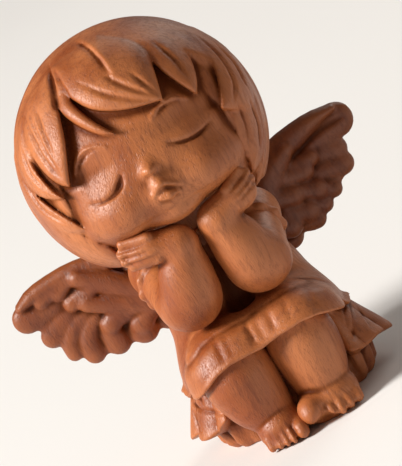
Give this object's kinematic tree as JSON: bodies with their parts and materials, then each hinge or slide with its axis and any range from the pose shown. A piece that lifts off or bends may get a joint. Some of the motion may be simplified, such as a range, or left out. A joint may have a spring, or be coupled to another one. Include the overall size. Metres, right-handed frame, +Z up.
{
  "type": "carved wooden figurine",
  "caption": "Palm-size carved wooden cherub, seated with its chin in its hands; carved blocks joined by hidden dowels, flat under the dress.",
  "frame": {"origin": "on the flat underside of the dress, below the middle of the trunk", "axes": "+Z up through the crown; the face looks along -Y; the cherub's right hand is on the -X side"},
  "size_m": [0.07, 0.0409, 0.075],
  "materials": {
    "carved_wood": "satin, hand-carved, fine dark pore streaks",
    "dowel_wood": "plain, unfinished, inside the joints"
  },
  "bodies": {
    "root": {"head": "carved_wood", "dress": "carved_wood", "right_arm": "carved_wood", "left_arm": "carved_wood", "right_leg": "carved_wood", "left_leg": "carved_wood", "right_wing": "carved_wood", "left_wing": "carved_wood", "neck_dowel": "dowel_wood", "right_shoulder_dowel": "dowel_wood", "left_shoulder_dowel": "dowel_wood", "right_hip_dowel": "dowel_wood", "left_hip_dowel": "dowel_wood", "right_wing_upper_dowel": "dowel_wood", "right_wing_lower_dowel": "dowel_wood", "left_wing_upper_dowel": "dowel_wood", "left_wing_lower_dowel": "dowel_wood"}
  },
  "joints": []
}
